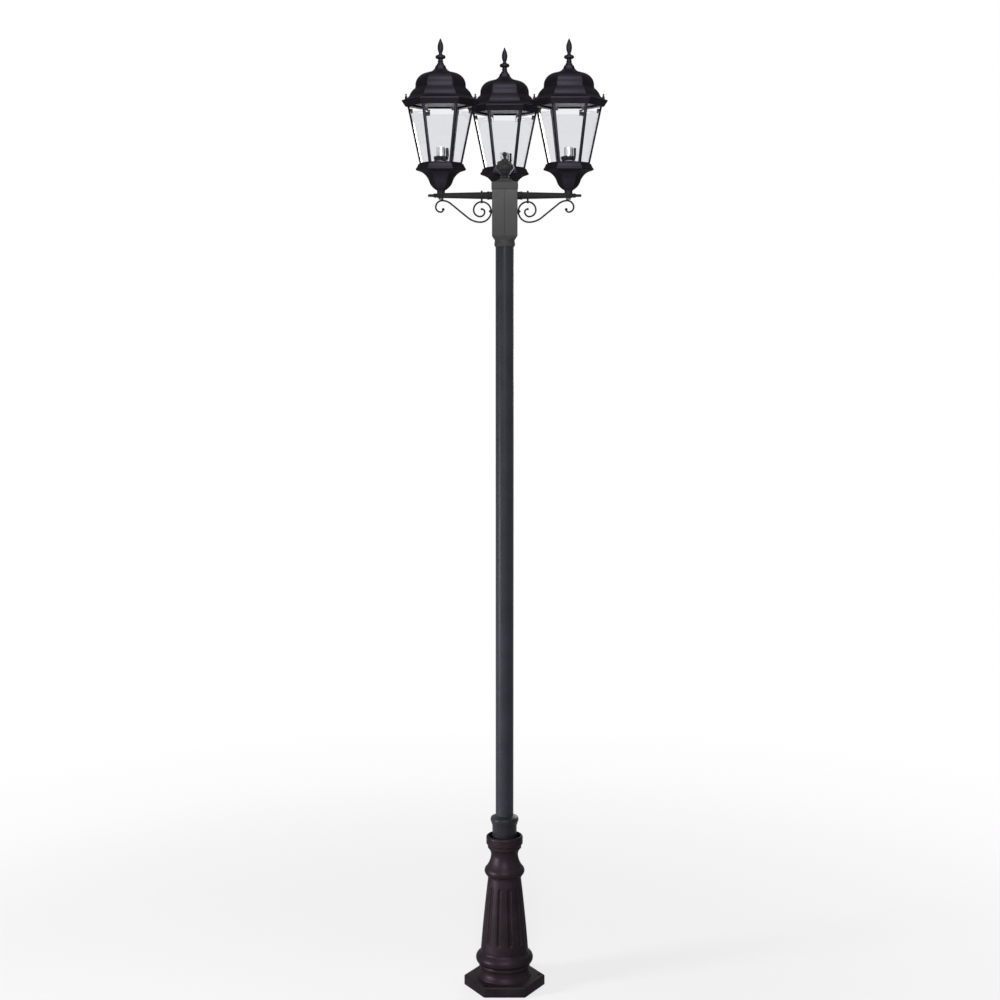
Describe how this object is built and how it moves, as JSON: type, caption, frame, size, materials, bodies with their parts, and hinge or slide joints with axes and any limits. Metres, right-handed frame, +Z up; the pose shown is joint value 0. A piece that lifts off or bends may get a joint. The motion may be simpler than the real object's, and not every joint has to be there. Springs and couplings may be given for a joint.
{
  "type": "lamp post",
  "caption": "Street lamp post with a fluted cast base on a six-sided plate, a tube pole and a square hub carrying glazed lanterns on scrolled arms.",
  "frame": {"origin": "centre of the foot plate's underside, on the pole's axis", "axes": "+Z up along the pole; -Y is the front, where the picture looks from; the left and right arms lie on -X and +X and the rear arm on +Y"},
  "size_m": [0.632, 0.413, 3.0015],
  "materials": {
    "base_paint": "satin",
    "pole_paint": "satin",
    "hub_paint": "satin",
    "lantern_paint": "satin",
    "rod_paint": "satin",
    "hardware": "satin",
    "pane_glass": "gloss",
    "holder_plastic": "matte",
    "shell_metal": "satin",
    "terminal_plastic": "matte"
  },
  "bodies": {
    "post": {"base_casting": "base_paint", "pole_sleeve": "base_paint", "sleeve_screws": "hardware", "pole_tube": "pole_paint", "hub_body": "hub_paint", "cap_stud": "hardware", "terminal_block": "terminal_plastic", "left_arm": "lantern_paint", "left_scroll": "rod_paint", "left_scroll_bolt": "rod_paint", "left_arm_clip": "lantern_paint", "left_bowl": "lantern_paint", "left_nipple": "hardware", "left_nipple_nuts": "hardware", "left_cage": "lantern_paint", "left_panes": "pane_glass", "left_pane_clips": "hardware", "left_holder_strap": "rod_paint", "left_holder_body": "holder_plastic", "left_lamp_shell": "shell_metal", "right_arm": "lantern_paint", "right_scroll": "rod_paint", "right_scroll_bolt": "rod_paint", "right_arm_clip": "lantern_paint", "right_bowl": "lantern_paint", "right_nipple": "hardware", "right_nipple_nuts": "hardware", "right_cage": "lantern_paint", "right_panes": "pane_glass", "right_pane_clips": "hardware", "right_holder_strap": "rod_paint", "right_holder_body": "holder_plastic", "right_lamp_shell": "shell_metal", "rear_arm": "lantern_paint", "rear_scroll": "rod_paint", "rear_scroll_bolt": "rod_paint", "rear_arm_clip": "lantern_paint", "rear_bowl": "lantern_paint", "rear_nipple": "hardware", "rear_nipple_nuts": "hardware", "rear_cage": "lantern_paint", "rear_panes": "pane_glass", "rear_pane_clips": "hardware", "rear_holder_strap": "rod_paint", "rear_holder_body": "holder_plastic", "rear_lamp_shell": "shell_metal"},
    "hub_cap_body": {"hub_cap": "hub_paint"},
    "hub_finial_body": {"hub_finial": "hub_paint"},
    "left_roof_body": {"left_roof": "lantern_paint", "left_roof_screws": "rod_paint"},
    "left_finial_body": {"left_finial": "lantern_paint"},
    "right_roof_body": {"right_roof": "lantern_paint", "right_roof_screws": "rod_paint"},
    "right_finial_body": {"right_finial": "lantern_paint"},
    "rear_roof_body": {"rear_roof": "lantern_paint", "rear_roof_screws": "rod_paint"},
    "rear_finial_body": {"rear_finial": "lantern_paint"}
  },
  "joints": [
    {"name": "cap_lift", "type": "slide", "parent": "post", "child": "hub_cap_body", "axis": [0, 0, 1], "range_m": [0, 0.06]},
    {"name": "urn_spin", "type": "hinge", "parent": "hub_cap_body", "child": "hub_finial_body", "pos_m": [0, 0, 2.6], "axis": [0, 0, 1], "continuous": true},
    {"name": "left_roof_lift", "type": "slide", "parent": "post", "child": "left_roof_body", "axis": [0, 0, 1], "range_m": [0, 0.2]},
    {"name": "left_finial_spin", "type": "hinge", "parent": "left_roof_body", "child": "left_finial_body", "pos_m": [-0.1965, 0, 2.941], "axis": [0, 0, 1], "continuous": true},
    {"name": "right_roof_lift", "type": "slide", "parent": "post", "child": "right_roof_body", "axis": [0, 0, 1], "range_m": [0, 0.2]},
    {"name": "right_finial_spin", "type": "hinge", "parent": "right_roof_body", "child": "right_finial_body", "pos_m": [0.1965, 0, 2.941], "axis": [0, 0, 1], "continuous": true},
    {"name": "rear_roof_lift", "type": "slide", "parent": "post", "child": "rear_roof_body", "axis": [0, 0, 1], "range_m": [0, 0.2]},
    {"name": "rear_finial_spin", "type": "hinge", "parent": "rear_roof_body", "child": "rear_finial_body", "pos_m": [0, 0.1965, 2.941], "axis": [0, 0, 1], "continuous": true}
  ]
}
